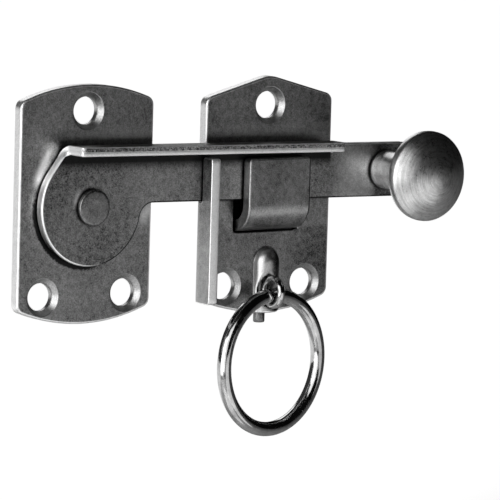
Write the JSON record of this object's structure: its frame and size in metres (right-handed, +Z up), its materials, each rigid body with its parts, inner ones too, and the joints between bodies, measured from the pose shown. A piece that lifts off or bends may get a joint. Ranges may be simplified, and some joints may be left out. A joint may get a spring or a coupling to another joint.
{
  "type": "flip-over door latch",
  "caption": "Flip-over latch: a knobbed arm pivots on one plate and drops behind the hook and slotted lip of a keeper plate that carries a swivelling pull ring.",
  "frame": {"origin": "axis of the arm's pivot rivet, on the back face of the pivot plate", "axes": "+X along the closed arm towards the knob, +Y into the door or frame that the plates are screwed to, +Z up"},
  "size_m": [0.123, 0.0292, 0.0923],
  "materials": {
    "plate_steel": "satin, tumbled",
    "arm_steel": "satin, tumbled, lightly scratched",
    "rivet_steel": "satin",
    "turned_steel": "fine turned rings",
    "polished_steel": "polished"
  },
  "bodies": {
    "mounted_plates": {"pivot_plate": "plate_steel", "pivot_rivet": "rivet_steel", "keeper_plate": "plate_steel"},
    "arm": {"latch_arm": "arm_steel", "knob": "turned_steel"},
    "ring_swivel": {"ring_pin": "rivet_steel", "ring_eye": "polished_steel"},
    "ring": {"pull_ring": "polished_steel"}
  },
  "joints": [
    {"name": "arm_swing", "type": "hinge", "parent": "mounted_plates", "child": "arm", "pos_m": [0, -0.0043, 0], "axis": [0, -1, 0], "range_deg": [0, 270]},
    {"name": "eye_swivel", "type": "hinge", "parent": "mounted_plates", "child": "ring_swivel", "pos_m": [0.0552, -0.0016, -0.02385], "axis": [0, 0, 1], "range_deg": [-11, 3]},
    {"name": "ring_swing", "type": "hinge", "parent": "ring_swivel", "child": "ring", "pos_m": [0.0552, -0.0076, -0.02465], "axis": [-0.9848, -0.1736, 0], "range_deg": [-6, 160]}
  ]
}
